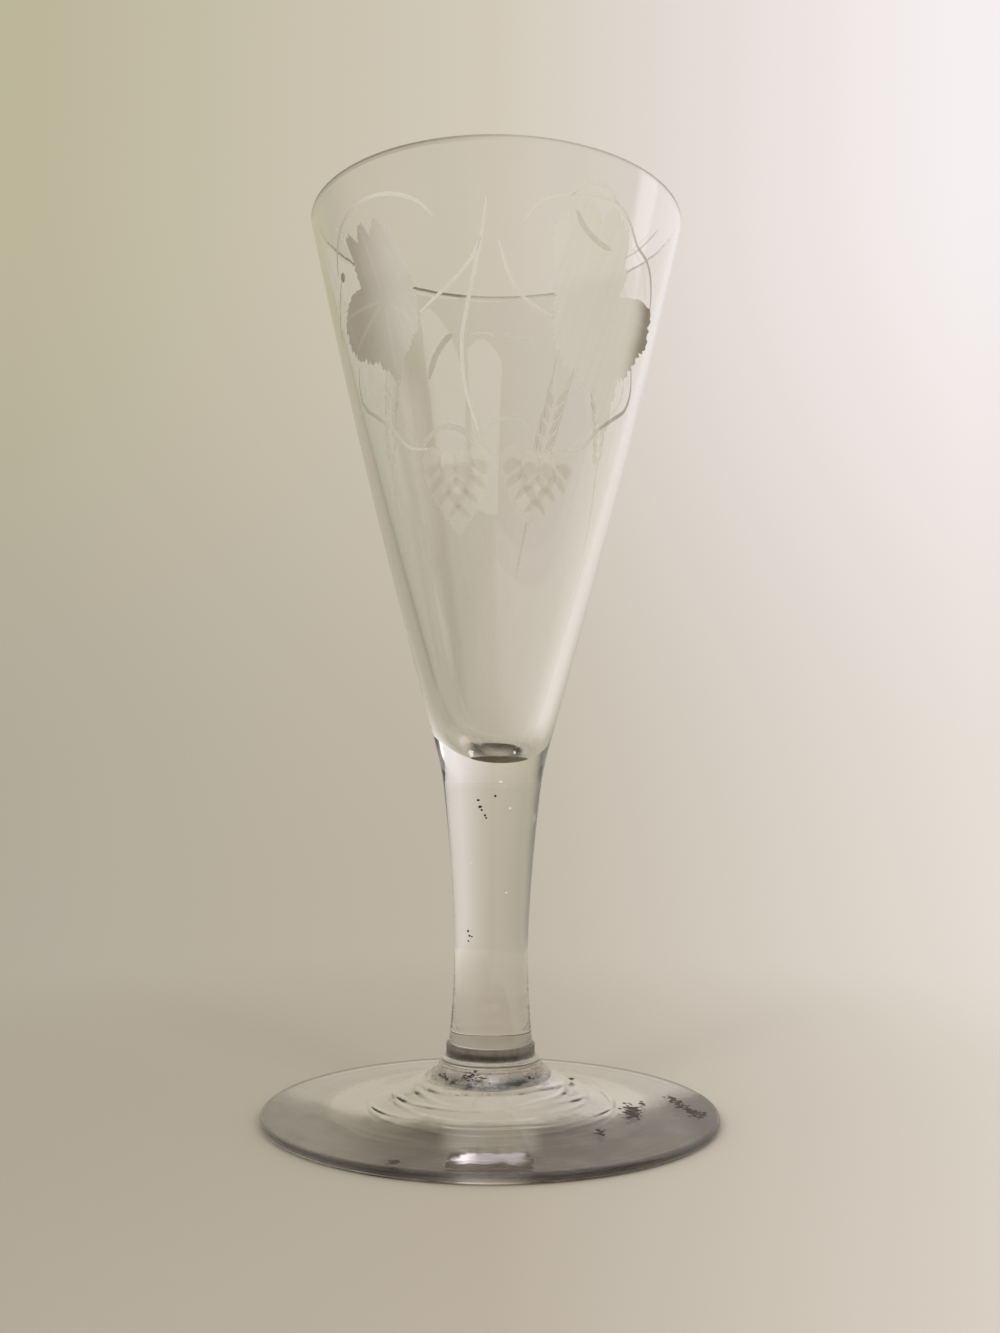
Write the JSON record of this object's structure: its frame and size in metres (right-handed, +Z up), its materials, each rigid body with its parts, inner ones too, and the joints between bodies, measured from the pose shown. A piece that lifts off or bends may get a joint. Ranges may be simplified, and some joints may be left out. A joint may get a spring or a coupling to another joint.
{
  "type": "ale glass",
  "caption": "Short stemmed ale glass with a tall conical bowl engraved with hops and barley, a plain waisted stem, a thin collar and a spreading foot.",
  "frame": {"origin": "centre of the ring that the foot rests on, on the table", "axes": "+Z up the axis of the glass; +X and +Y along the table, with the front of the engraving facing -Y"},
  "size_m": [0.069, 0.069, 0.14],
  "materials": {
    "clear_glass": "fire-polished clear soda glass with a slight grey cast",
    "scar_glass": "rough broken glass, a little dirty",
    "frosted_glass": "wheel-cut matt engraving, left unpolished",
    "inclusion": "specks of clay and seeds of air in the metal"
  },
  "bodies": {
    "root": {"foot": "clear_glass", "pontil_scar": "scar_glass", "collar": "clear_glass", "stem": "clear_glass", "bowl": "clear_glass"}
  },
  "joints": []
}
